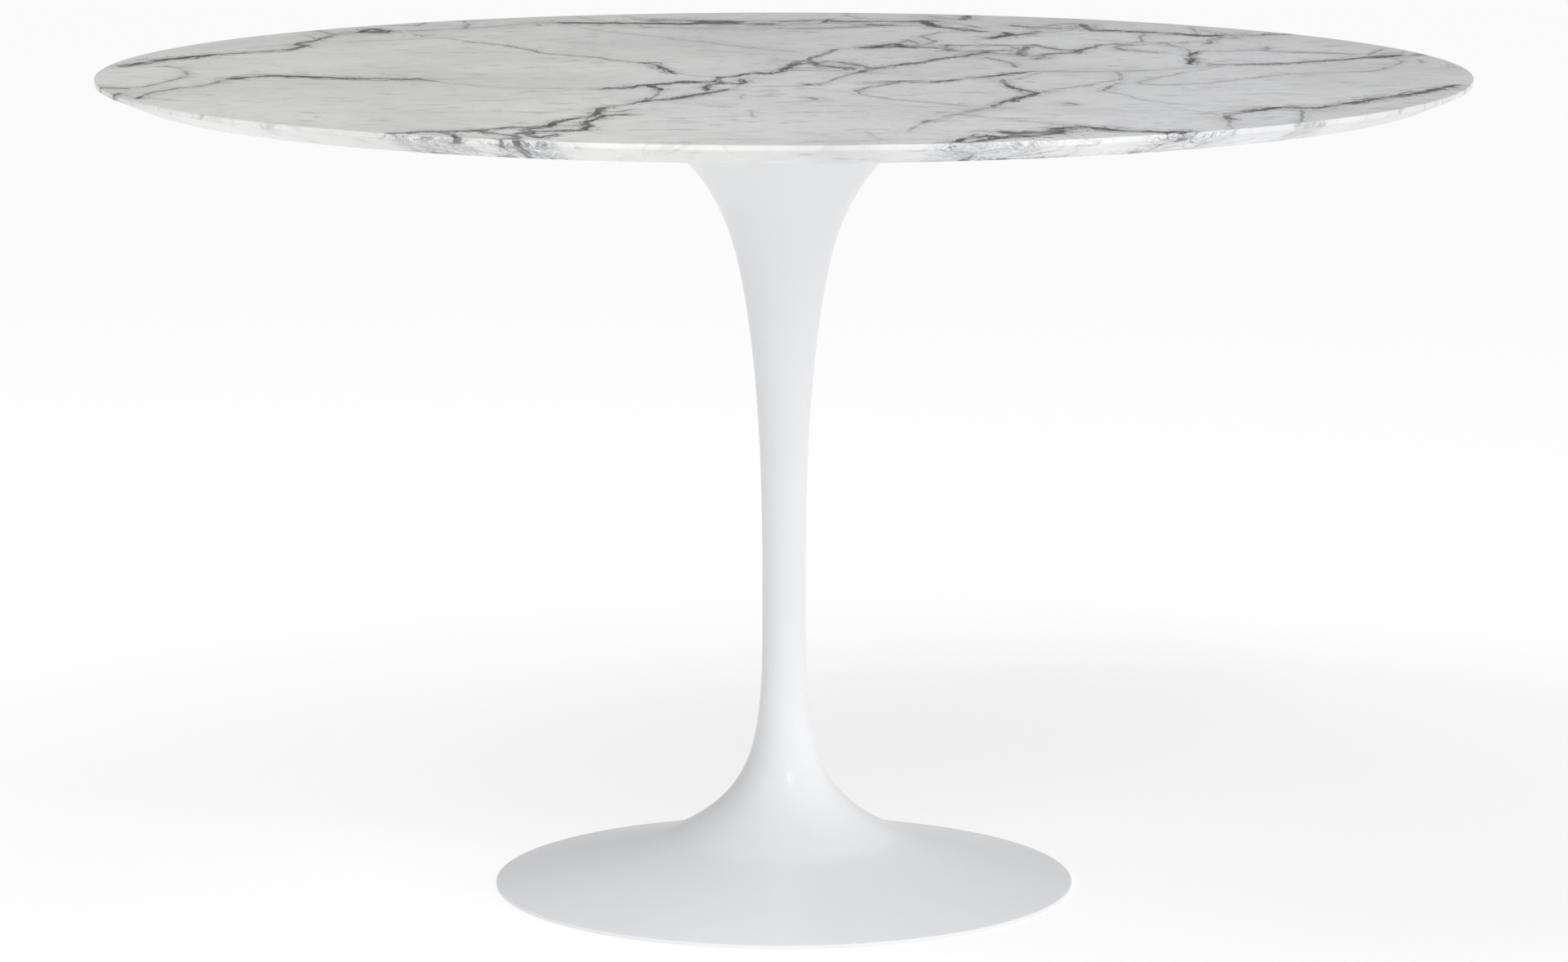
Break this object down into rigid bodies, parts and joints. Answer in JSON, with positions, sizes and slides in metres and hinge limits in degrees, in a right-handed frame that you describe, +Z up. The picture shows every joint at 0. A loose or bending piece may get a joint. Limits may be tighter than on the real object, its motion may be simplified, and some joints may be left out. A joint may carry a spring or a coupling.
{
  "type": "round pedestal table",
  "caption": "Round dining table: a thin bevelled marble slab on a white trumpet-shaped pedestal with a wide round foot.",
  "frame": {"origin": "on the floor, at the middle of the foot", "axes": "+Z up along the pedestal's axis; the table is round, so X and Y only set where the fasteners sit"},
  "size_m": [1.1992, 1.2, 0.726],
  "materials": {
    "marble": "polished white marble with grey and ochre veins",
    "lacquer": "smooth satin-gloss white coating",
    "plywood": "clear-sealed birch plywood",
    "black_steel": "fine black powder coat",
    "zinc": "bright zinc plate",
    "brass": "turned, uncoated",
    "iron": "as cast, black varnish",
    "rubber": "matte black"
  },
  "bodies": {
    "root": {"marble_top": "marble", "backing_disc": "plywood", "mounting_plate": "black_steel", "pedestal_casting": "lacquer", "floor_ring": "rubber", "ballast_ring": "iron", "under_cover": "black_steel", "threaded_insert_1": "brass", "threaded_insert_2": "brass", "threaded_insert_3": "brass", "threaded_insert_4": "brass", "threaded_insert_5": "brass", "threaded_insert_6": "brass", "top_washer_1": "zinc", "top_washer_2": "zinc", "top_washer_3": "zinc", "top_washer_4": "zinc", "top_washer_5": "zinc", "top_washer_6": "zinc", "top_screw_1": "zinc", "top_screw_2": "zinc", "top_screw_3": "zinc", "top_screw_4": "zinc", "top_screw_5": "zinc", "top_screw_6": "zinc", "plate_screw_1": "zinc", "plate_screw_2": "zinc", "plate_screw_3": "zinc", "plate_screw_4": "zinc", "plate_screw_5": "zinc", "plate_screw_6": "zinc", "ballast_bolt_1": "zinc", "ballast_bolt_2": "zinc", "ballast_bolt_3": "zinc", "ballast_bolt_4": "zinc", "cover_screw_1": "black_steel", "cover_screw_2": "black_steel", "cover_screw_3": "black_steel", "cover_screw_4": "black_steel"}
  },
  "joints": []
}
